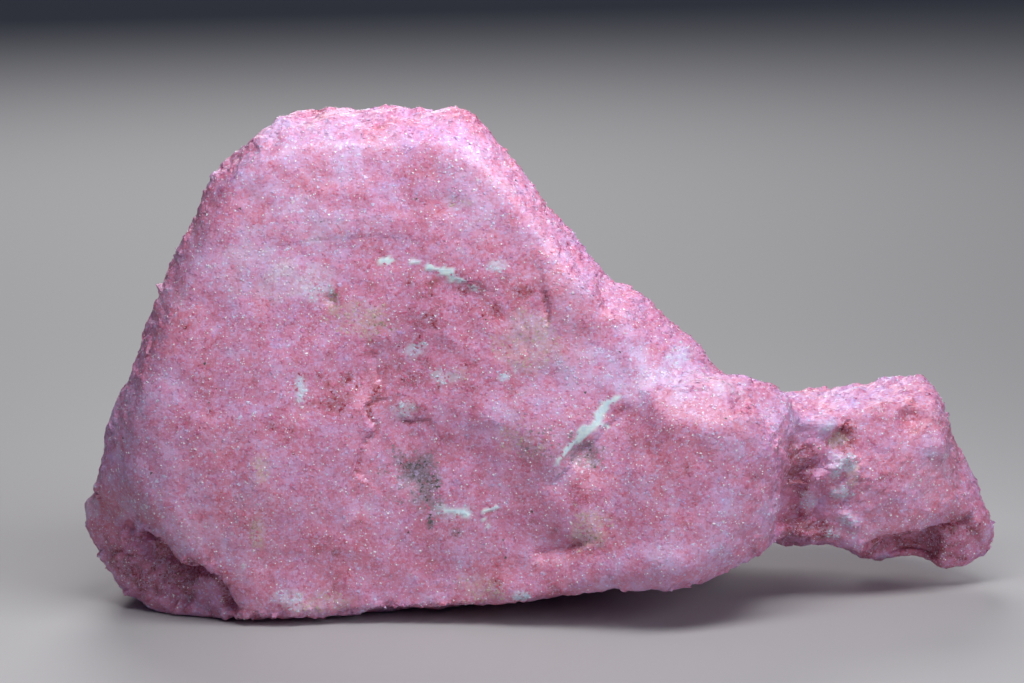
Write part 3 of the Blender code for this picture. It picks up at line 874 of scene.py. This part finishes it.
class Wiring:
    """Adds nodes to one material's tree."""

    def __init__(self, material: bpy.types.Material) -> None:
        """Opens a node tree.

        Args:
            material: what it belongs to.
        """
        material.use_nodes = True
        self.nodes = material.node_tree.nodes
        self.links = material.node_tree.links
        self.shader = self.nodes["Principled BSDF"]

    def node(self, kind: str, settings: dict, inputs: dict, output: object = 0) -> Wire:
        """Adds one node.

        Args:
            kind: the node's type.
            settings: properties that are set before its sockets are used.
            inputs: values or wires by socket name or number.
            output: name or number of the output that is wanted.

        Returns:
            That output.
        """
        added = self.nodes.new(kind)
        for name, value in settings.items():
            setattr(added, name, value)
        for name, value in inputs.items():
            self.feed(added.inputs[name], value)
        return Wire(self, added.outputs[output])

    def feed(self, socket: bpy.types.NodeSocket, value: object) -> None:
        """Gives an input socket what it is fed.

        Args:
            socket: the input.
            value: a wire to link, or a value to set.
        """
        if isinstance(value, Wire):
            self.links.new(value.socket, socket)
        else:
            socket.default_value = value

    def mixed(self, share: object, first: object, second: object) -> Wire:
        """A colour between two colours.

        Args:
            share: 0 gives the first and 1 the second.
            first: a wire or a linear colour.
            second: a wire or a linear colour.

        Returns:
            The mixed colour.
        """
        colours = [c if isinstance(c, Wire) else (*c, 1.0) for c in (first, second)]
        inputs = {0: share, 6: colours[0], 7: colours[1]}
        return self.node("ShaderNodeMix", {"data_type": "RGBA"}, inputs, output=2)

    def painted(self, name: str, output: str) -> Wire:
        """What the mesh carries at its points under a name."""
        return self.node("ShaderNodeAttribute", {"attribute_name": name}, {}, output=output)

    def chance(self, colour: Wire) -> Wire:
        """A number from 0 to 1, from a colour drawn at random."""
        return self.node("ShaderNodeSeparateColor", {}, {0: colour})

    def noise(self, place: Wire, per_metre: float, detail: float) -> Wire:
        """Noise around 0.5."""
        inputs = {"Vector": place, "Scale": per_metre, "Detail": detail}
        return self.node("ShaderNodeTexNoise", {}, inputs, output="Fac")


@dataclass(frozen=True)
class Groundmass:
    """The finish of the rock between the grains: mottled, with red gaps, pale clots and smooth white veins.

    Attributes:
        title: the material's name.
        cells, crumbs, streaks: how many of its seeming grains, of the finer ones among them and of the
            veins' streaks there are in a metre.
        gap, clot: the linear colours that the deepest and the palest of them lean to.
        gap_share, clot_share: how far they lean.
        gaps_below: the share of cells that are gaps.
        clots_above, crumbs_above: the share of cells and of crumbs that are not pale.
        milk: the linear colours of the veins' streaks.
        milk_noise: the noise at which one ends and at which the other begins.
        dull: roughness of the rock.
        gloss_above, gloss: the share of cells that don't shine, and how far roughness falls in the rest.
        streak_height: height of the streaks against that of the cells.
        bump, depth: strength of the cells' relief, and its height in m.
        ior: how strongly the rock mirrors.
    """

    title: str = "thulite groundmass"
    cells: float = 3300.0
    crumbs: float = 7200.0
    streaks: float = 1500.0
    gap: Colour = (0.58, 0.135, 0.24)
    clot: Colour = (0.76, 0.60, 0.97)
    gap_share: float = 0.38
    clot_share: float = 0.34
    gaps_below: float = 0.38
    clots_above: float = 0.55
    crumbs_above: float = 0.62
    milk: tuple[Colour, Colour] = ((0.68, 0.89, 1.0), (0.84, 1.0, 1.0))
    milk_noise: Pair = (0.35, 0.65)
    dull: float = 0.5
    gloss_above: float = 0.8
    gloss: float = 0.25
    streak_height: float = 0.3
    bump: float = 0.2
    depth: float = 0.00008
    ior: float = 1.6

    def material(self) -> bpy.types.Material:
        """Wires the finish around what the skin's mesh carries at its points.

        Returns:
            The material.
        """
        made = bpy.data.materials.new(self.title)
        w = Wiring(made)
        place = w.node("ShaderNodeTexCoord", {}, {}, output="Object")
        vein = w.painted("vein", "Fac")
        cells = {"Vector": place, "Scale": self.cells}
        chance = w.chance(w.node("ShaderNodeTexVoronoi", {}, cells, output="Color"))
        core = w.node("ShaderNodeTexVoronoi", {}, cells, output="Distance")
        crumbs = {"Vector": place, "Scale": self.crumbs}
        crumb = w.chance(w.node("ShaderNodeTexVoronoi", {}, crumbs, output="Color"))
        deep = chance.ramp(self.gaps_below, 0.0) * self.gap_share
        pale = (chance.ramp(self.clots_above, 1.0) * self.clot_share
                + crumb.ramp(self.crumbs_above, 1.0) * self.clot_share)
        colour = w.mixed(deep, w.painted("tone", "Color"), self.gap)
        colour = w.mixed(pale, colour, self.clot)
        streaks = w.noise(place, self.streaks, detail=4.0)
        colour = w.mixed(vein, colour, w.mixed(streaks.ramp(*self.milk_noise), *self.milk))
        height = (1.0 - core) * (1.0 - vein) + streaks * self.streak_height
        relief = {"Strength": self.bump, "Distance": self.depth, "Height": height}
        w.feed(w.shader.inputs["Base Color"], colour)
        w.feed(w.shader.inputs["Roughness"], self.dull - chance.ramp(self.gloss_above, 1.0) * self.gloss)
        w.feed(w.shader.inputs["Normal"], w.node("ShaderNodeBump", {}, relief, output="Normal"))
        w.feed(w.shader.inputs["IOR"], self.ior)
        return made


# ---------------------------------------------------------------- pieces


def rows_of(collection: bpy.types.bpy_prop_collection, attribute: str) -> np.ndarray:
    """Reads a vector of every element.

    Args:
        collection: a mesh's points or faces.
        attribute: the vector's name.

    Returns:
        One row for each element.
    """
    values = np.empty(len(collection) * 3)
    collection.foreach_get(attribute, values)
    return values.reshape(-1, 3)


def put_in_scene(mesh: bpy.types.Mesh) -> bpy.types.Object:
    """Makes a piece of a finished mesh.

    Args:
        mesh: the piece's mesh, whose name it takes.

    Returns:
        The piece, which stands for the rock's solid together with the others.
    """
    piece = bpy.data.objects.new(mesh.name, mesh)
    bpy.context.scene.collection.objects.link(piece)
    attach(piece, BODY)
    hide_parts(ROCK_NODE)
    return piece


@dataclass
class RockSkin:
    """The rock's closed outer surface, with its breaks, pits, veins and the rock between the grains.

    Attributes:
        growth: how tones and minerals spread.
        finish: the looks of the rock between the grains.
        name: the piece's name.
        voxel: size in mm of the grid that the surface is laid on.
        merged: size in m of the gaps between the solid's points that are closed first.
        easing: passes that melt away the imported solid's facets.
        melting: further passes along LEDGE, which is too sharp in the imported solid.
        melt_reach: how far from its line they reach, in mm.
        melt_share: how far a pass moves a point to the middle of its neighbours.
        chips: small flat breaks, from broad to fine.
        relief: length and height in mm of the rounded relief, from broad to fine.
        wander: size in mm of the noise that makes breaks, clefts and patches ragged.
        front: how squarely a place has to face forward for breaks to begin, and to be full.
        calm_share: how much of the relief is missing from the middle of the main face.
        calm_front, calm_height: the same for calm rock, and the heights in mm where it begins and is full.
        calm_tail, tail_share: from where to where along X in mm the calm lessens, and by how much.
        chip_fade: how much sooner than the rounded relief the small breaks fade there, as a power.
        chip_most: the strongest relief at which they still grow.
        rugged_share: how much more relief the rugged patches have.
        vein_calm: how much of the relief is missing from the white veins.
        vein_rise: how far they stand proud, in mm.
        foot: the heights in mm where all of this begins, above the foot, and is full.
    """

    growth: Growth
    finish: Groundmass = Groundmass()
    name: str = "thulite_skin"
    voxel: float = 0.42
    merged: float = 1e-6
    easing: int = 10
    melting: int = 60
    melt_reach: float = 2.6
    melt_share: float = 0.5
    chips: tuple[Chipping, ...] = (
        Chipping(3.6, 0.06, 0.06, Layer.BROAD_CHIPS),
        Chipping(1.6, 0.035, 0.07, Layer.FINE_CHIPS),
    )
    relief: tuple[Pair, ...] = ((4.5, 0.09), (1.9, 0.05), (0.9, 0.04))
    wander: float = 1.6
    front: Pair = (0.15, 0.60)
    calm_share: float = 0.75
    calm_front: Pair = (0.45, 0.80)
    calm_height: Pair = (1.0, 4.0)
    calm_tail: Pair = (18.0, 28.0)
    tail_share: float = 0.4
    chip_fade: float = 2.0
    chip_most: float = 1.2
    rugged_share: float = 0.8
    vein_calm: float = 0.8
    vein_rise: float = 0.05
    foot: Pair = (0.05, 0.6)

    def build(self) -> bpy.types.Object:
        """Makes the finished skin.

        Returns:
            The piece.
        """
        mesh = self.laid_over(bpy.data.objects[ROCK_NODE].data)
        self.break_up(mesh)
        self.paint(mesh)
        mesh.materials.append(self.finish.material())
        return put_in_scene(mesh)

    def laid_over(self, solid: bpy.types.Mesh) -> bpy.types.Mesh:
        """Lays a fine, even mesh over the solid.

        Args:
            solid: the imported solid's mesh, which is left as it is.

        Returns:
            A mesh with its form and without its facets.
        """
        shape = bmesh.new()
        shape.from_mesh(solid)
        bmesh.ops.remove_doubles(shape, verts=shape.verts, dist=self.merged)
        coarse = bpy.data.meshes.new(self.name)
        shape.to_mesh(coarse)
        carrier = bpy.data.objects.new(self.name, coarse)
        bpy.context.scene.collection.objects.link(carrier)
        remesh = carrier.modifiers.new("fine grid", "REMESH")
        remesh.mode = "VOXEL"
        remesh.voxel_size = self.voxel * MM
        evaluated = carrier.evaluated_get(bpy.context.evaluated_depsgraph_get())
        fine = bpy.data.meshes.new_from_object(evaluated)
        bpy.data.objects.remove(carrier)
        bpy.data.meshes.remove(coarse)
        shape.clear()
        shape.from_mesh(fine)
        self.melt(shape, shape.verts, self.easing)
        gaps = beside(rows_of(fine.vertices, "co") / MM, LEDGE)[0]
        ledge = [vert for vert, gap in zip(shape.verts, gaps) if gap < self.melt_reach and vert.co.y < 0]
        self.melt(shape, ledge, self.melting)
        shape.to_mesh(fine)
        shape.free()
        fine.name = self.name
        return fine

    def melt(self, shape: bmesh.types.BMesh, verts: Sequence[bmesh.types.BMVert], passes: int) -> None:
        """Smooths part of a shape.

        Args:
            shape: what they belong to.
            verts: the points that may move.
            passes: how often they are moved.
        """
        for _ in range(passes):
            bmesh.ops.smooth_vert(shape, verts=verts, factor=self.melt_share, use_axis_x=True,
                                  use_axis_y=True, use_axis_z=True)

    def calm(self, points: np.ndarray, normals: np.ndarray) -> np.ndarray:
        """1 in the middle of the main face, where the rock split cleanly, and 0 where it is rough."""
        middle = eased(-normals[:, 1], *self.calm_front) * eased(points[:, 2], *self.calm_height)
        return middle * (1 - self.tail_share * eased(points[:, 0], *self.calm_tail))

    def break_up(self, mesh: bpy.types.Mesh) -> None:
        """Works breaks, dents, veins and rough relief into the surface, all but the foot it stands on.

        Args:
            mesh: the skin's mesh, which is changed.
        """
        points = rows_of(mesh.vertices, "co") / MM
        normals = rows_of(mesh.vertices, "normal")
        wander = noise_over(points, self.wander, Layer.WANDER, octaves=2)
        rough = 1 - self.calm_share * self.calm(points, normals)
        for patch in RUGGED:
            rough += self.rugged_share * patch.cover(points, wander)
        facing = eased(-normals[:, 1], *self.front) * (points[:, 1] < 0)
        deeper = np.sum([one.depth(points, wander) for one in BREAKS], axis=0)
        deeper += np.sum([one.floor * one.cover(points, wander) for one in CLEFTS], axis=0)
        out = -facing * deeper
        for dent in DENTS:
            off = np.linalg.norm(points - np.array(dent.centre), axis=1) / dent.reach
            out -= dent.depth * np.exp(-(off**2))
        veined = self.growth.veined(points)
        plain = rough * (1 - self.vein_calm * veined)
        for number, (length, height) in enumerate(self.relief):
            out += height * noise_over(points, length, Layer.RELIEF + number, octaves=2) * plain
        for chips in self.chips:
            out += chips.height(points, self.voxel) * np.minimum(plain, self.chip_most) ** self.chip_fade
        out += self.vein_rise * veined
        points += normals * (out * eased(points[:, 2], *self.foot))[:, None]
        points[:, 2] = points[:, 2].clip(0, None)
        mesh.vertices.foreach_set("co", (points * MM).ravel())
        mesh.update()

    def paint(self, mesh: bpy.types.Mesh) -> None:
        """Stores at each point the mean colour of the grains that grow there, painted shade and light
        included, and the veins.

        Args:
            mesh: the skin's mesh, which is changed.
        """
        points = rows_of(mesh.vertices, "co") / MM
        opaque = np.ones((len(points), 1))
        tone = mesh.attributes.new("tone", "FLOAT_COLOR", "POINT")
        tone.data.foreach_set("color", np.hstack([self.growth.colours(points), opaque]).ravel())
        vein = mesh.attributes.new("vein", "FLOAT", "POINT")
        vein.data.foreach_set("value", self.growth.veined(points))


# where the regions meet, in mm
NECK_X, RIDGE_Y, BACK_Z, CROWN_Z, FEET_X = 22.0, 2.0, 21.0, 29.0, -17.0
REGIONS: dict[str, Callable[[np.ndarray], np.ndarray]] = {
    "tail_grains": lambda p: p[:, 0] > NECK_X,
    "upper_back_grains": lambda p: (p[:, 1] > RIDGE_Y) & (p[:, 2] > BACK_Z),
    "back_grains": lambda p: p[:, 1] > RIDGE_Y,
    "crown_grains": lambda p: p[:, 2] > CROWN_Z,
    "left_foot_grains": lambda p: p[:, 0] < FEET_X,
    "right_foot_grains": lambda p: p[:, 0] >= FEET_X,
}


@dataclass
class GrainCrust:
    """Small crystals set into the skin, joined into one mesh for each of REGIONS.

    A region takes what it may of the grains that the regions before it have left.

    Attributes:
        growth: how tones and minerals spread.
        skin: the piece they sit in.
        grains: the most that there may be in all.
        radius: of a usual crystal, in mm.
        spread: how much sizes differ, as the spread of their logarithm.
        sunk: how deep a crystal's middle lies under the skin, in radii.
        flat: height of a crystal over the skin against its width.
        lift: lowest height of a grain over the table, in radii.
        clear: lowest height of a crystal's corner over the table, in mm.
        bare: height in mm under which no crystal grows.
        vein_edge: how far inside a vein they still grow, from 0 to 1.
        jog: how far each strays from the skin's even grid, in mm.
        level: how much of the jog in or out of the skin is taken back.
        stretch, knock: how unlike a crystal's three widths and the lengths of its corners are.
        glint_size: radius of a white glint grain, partly quartz and partly a painted glint, against that of
            the others.
        glint_rise: how far a glint grain's middle stands over the skin, in usual radii.
        glint_flat: height of a glint grain over the skin against its width.
    """

    growth: Growth
    skin: bpy.types.Object
    grains: int = 190_000
    radius: float = 0.175
    spread: float = 0.22
    sunk: float = 0.05
    flat: float = 0.105
    lift: float = 1.25
    clear: float = 0.02
    bare: float = 0.15
    vein_edge: float = 0.5
    jog: float = 0.11
    level: float = 0.78
    stretch: float = 0.16
    knock: float = 0.10
    glint_size: float = 0.62
    glint_rise: float = 0.18
    glint_flat: float = 0.30

    def build(self) -> list[bpy.types.Object]:
        """Makes every region's grains.

        Returns:
            One piece for each region.
        """
        chance = np.random.default_rng(SEED)
        places, normals = self.sites(chance)
        kinds = self.growth.kinds(places, chance)
        sizes = self.radius * np.exp(chance.normal(0, self.spread, len(places)))
        glint = kinds == len(Shade) * len(Cast) + list(Mineral).index(Mineral.QUARTZ)
        sizes = np.where(glint, self.glint_size, 1) * np.minimum(sizes, places[:, 2] / self.lift)
        places = places + normals * (glint * self.glint_rise * self.radius)[:, None]
        flat = np.where(glint, self.glint_flat, self.flat)
        finishes = [finish.material() for finish in rock_finishes()]
        pieces, left = [], np.ones(len(places), bool)
        for name, inside in REGIONS.items():
            chosen = left & inside(places)
            left &= ~chosen
            corners = self.grown(places[chosen], normals[chosen], sizes[chosen], flat[chosen], chance)
            mesh = self.joined(name, corners, kinds[chosen])
            for finish in finishes:
                mesh.materials.append(finish)
            pieces.append(put_in_scene(mesh))
            LOG.info("%s: %d grains", name, chosen.sum())
        return pieces

    def sites(self, chance: np.random.Generator) -> tuple[np.ndarray, np.ndarray]:
        """Where the crystals sit: at the skin's points and the middles of its faces, a little off them.

        Args:
            chance: the draw of random numbers.

        Returns:
            Places in mm and outward normals.
        """
        mesh = self.skin.data
        places = np.vstack([rows_of(mesh.vertices, "co"), rows_of(mesh.polygons, "center")]) / MM
        normals = np.vstack([rows_of(mesh.vertices, "normal"), rows_of(mesh.polygons, "normal")])
        fit = np.flatnonzero((places[:, 2] > self.bare) & (self.growth.veined(places) < self.vein_edge))
        taken = np.sort(chance.permutation(fit)[: self.grains])
        places, normals = places[taken], normals[taken]
        jog = chance.normal(0, self.jog, places.shape)
        jog -= self.level * (jog * normals).sum(axis=1, keepdims=True) * normals
        return places + jog, normals

    def grown(
        self, places: np.ndarray, normals: np.ndarray, sizes: np.ndarray, flat: np.ndarray,
        chance: np.random.Generator
    ) -> np.ndarray:
        """The corners of every crystal, turned at random, in mm.

        Args:
            places: where they sit.
            normals: which way is out.
            sizes: their radii in mm.
            flat: the height of each over the skin against its width.
            chance: the draw of random numbers.

        Returns:
            An array of grains by corners by 3.
        """
        count = len(places)
        pattern = rows_of(self.crystal().vertices, "co")
        stretch = np.exp(chance.normal(0, self.stretch, (count, 1, 3)))
        knock = 1 + chance.normal(0, self.knock, (count, len(pattern), 1))
        corners = pattern[None] * stretch * knock
        axes, _ = np.linalg.qr(chance.normal(size=(count, 3, 3)))
        corners = np.einsum("nij,nkj->nki", axes, corners) * sizes[:, None, None]
        height = np.einsum("nki,ni->nk", corners, normals)
        corners -= (1 - flat[:, None, None]) * height[..., None] * normals[:, None, :]
        corners += (places - normals * (sizes * self.sunk)[:, None])[:, None, :]
        corners[:, :, 2] = corners[:, :, 2].clip(self.clear, None)
        return corners

    def crystal(self) -> bpy.types.Mesh:
        """Makes one crystal, a pyramid on three sides.

        Returns:
            Its mesh, whose corners lie on a ball with a radius of 1.
        """
        shape = bmesh.new()
        bmesh.ops.create_cone(shape, cap_ends=True, segments=3, radius1=math.sqrt(8) / 3, radius2=0,
                              depth=4 / 3)
        bmesh.ops.translate(shape, verts=shape.verts, vec=(0, 0, 1 / 3))
        bmesh.ops.recalc_face_normals(shape, faces=shape.faces)
        mesh = bpy.data.meshes.new("crystal")
        shape.to_mesh(mesh)
        shape.free()
        return mesh

    def joined(self, name: str, corners: np.ndarray, kinds: np.ndarray) -> bpy.types.Mesh:
        """One mesh of many crystals.

        Args:
            name: the mesh's name.
            corners: the crystals' corners in mm.
            kinds: the number of each crystal's material.

        Returns:
            The mesh, with flat faces.
        """
        pattern = self.crystal()
        faces = np.array([face.vertices[:] for face in pattern.polygons])
        count, corner_count = corners.shape[:2]
        loops = (faces[None] + np.arange(count)[:, None, None] * corner_count).ravel()
        mesh = bpy.data.meshes.new(name)
        mesh.vertices.add(count * corner_count)
        mesh.vertices.foreach_set("co", (corners * MM).ravel())
        mesh.loops.add(len(loops))
        mesh.loops.foreach_set("vertex_index", loops)
        mesh.polygons.add(count * len(faces))
        mesh.polygons.foreach_set("loop_start", np.arange(0, len(loops), 3))
        mesh.polygons.foreach_set("material_index", np.repeat(kinds, len(faces)))
        mesh.update(calc_edges=True)
        mesh.shade_flat()
        return mesh


# ---------------------------------------------------------------- studio


@dataclass(frozen=True)
class Lamp:
    """A soft lamp. Places and sizes in mm, power in watts."""

    name: str
    place: Point
    aim: Point
    size: Pair
    power: float
    colour: Colour

    def hang(self) -> None:
        """Puts the lamp in the scene."""
        data = bpy.data.lights.new(self.name, "AREA")
        data.shape = "RECTANGLE"
        data.size, data.size_y = (side * MM for side in self.size)
        data.energy = self.power
        data.color = self.colour
        lamp = bpy.data.objects.new(self.name, data)
        lamp.location = Vector(self.place) * MM
        lamp.rotation_mode = "QUATERNION"
        lamp.rotation_quaternion = (lamp.location - Vector(self.aim) * MM).to_track_quat("Z", "Y")
        bpy.context.scene.collection.objects.link(lamp)


LAMPS = (
    Lamp("top softbox", (18, -52, 129), (2, -5, 22), (150, 50), 0.158, (1.0, 0.985, 0.98)),
    Lamp("right fill", (290, -260, 200), (10, 0, 20), (160, 160), 0.35, (0.92, 0.95, 1.0)),
    Lamp("back softbox", (-60, 330, 260), (0, 0, 25), (260, 200), 0.8, (1.0, 0.98, 0.97)),
)
FLOOR = Finish("pale floor", (0.46, 0.46, 0.47), 0.6, ior=1.5)


@dataclass
class Studio:
    """Floor, lamps, surroundings and camera.

    Attributes:
        floor_side: of the pale floor, in mm.
        sky: linear colour of the room.
        sky_strength: how bright it is.
        target: what the camera looks at, in mm.
        distance: from there to the camera, in mm.
        pitch: how far the camera looks down, in degrees.
        lens, sensor: the camera's focal length and the width of its sensor, in mm.
        clip: the nearest and the farthest that it sees, in m.
    """

    floor_side: float = 4000.0
    sky: Colour = (0.62, 0.70, 1.0)
    sky_strength: float = 0.07
    target: Point = (-3.5, 0.34, 27.4)
    distance: float = 411.5
    pitch: float = 12.0
    lens: float = 132.0
    sensor: float = 36.0
    clip: Pair = (0.01, 20.0)

    def build(self) -> None:
        """Sets up everything that isn't the rock."""
        self.lay_floor()
        for lamp in LAMPS:
            lamp.hang()
        self.light_room()
        self.set_camera()

    def lay_floor(self) -> None:
        """A plain pale floor."""
        shape = bmesh.new()
        bmesh.ops.create_grid(shape, x_segments=1, y_segments=1, size=self.floor_side * MM / 2)
        mesh = bpy.data.meshes.new("floor")
        shape.to_mesh(mesh)
        shape.free()
        mesh.materials.append(FLOOR.material())
        floor = bpy.data.objects.new("floor", mesh)
        bpy.context.scene.collection.objects.link(floor)

    def light_room(self) -> None:
        """A dim, cool room around the lamps."""
        world = bpy.data.worlds.new("room")
        world.use_nodes = True
        sky = world.node_tree.nodes["Background"]
        sky.inputs["Color"].default_value = (*self.sky, 1.0)
        sky.inputs["Strength"].default_value = self.sky_strength
        bpy.context.scene.world = world

    def set_camera(self) -> None:
        """The camera, a little above the rock and looking down at it."""
        data = bpy.data.cameras.new("camera")
        data.lens = self.lens
        data.sensor_width = self.sensor
        data.clip_start, data.clip_end = self.clip
        camera = bpy.data.objects.new("camera", data)
        pitch = math.radians(self.pitch)
        back = Vector((0, -math.cos(pitch), math.sin(pitch)))
        camera.location = (Vector(self.target) + back * self.distance) * MM
        camera.rotation_mode = "QUATERNION"
        camera.rotation_quaternion = back.to_track_quat("Z", "Y")
        bpy.context.scene.collection.objects.link(camera)
        bpy.context.scene.camera = camera
        bpy.context.scene.view_settings.view_transform = "Standard"


def main() -> None:
    """Builds the skin, the grains and the studio."""
    logging.basicConfig(level=logging.INFO, format="%(name)s: %(message)s")
    growth = Growth()
    skin = RockSkin(growth).build()
    LOG.info("%s: %d faces", skin.name, len(skin.data.polygons))
    grains = GrainCrust(growth, skin).build()
    LOG.info("%d grain pieces", len(grains))
    Studio().build()


if __name__ == "__main__":
    main()
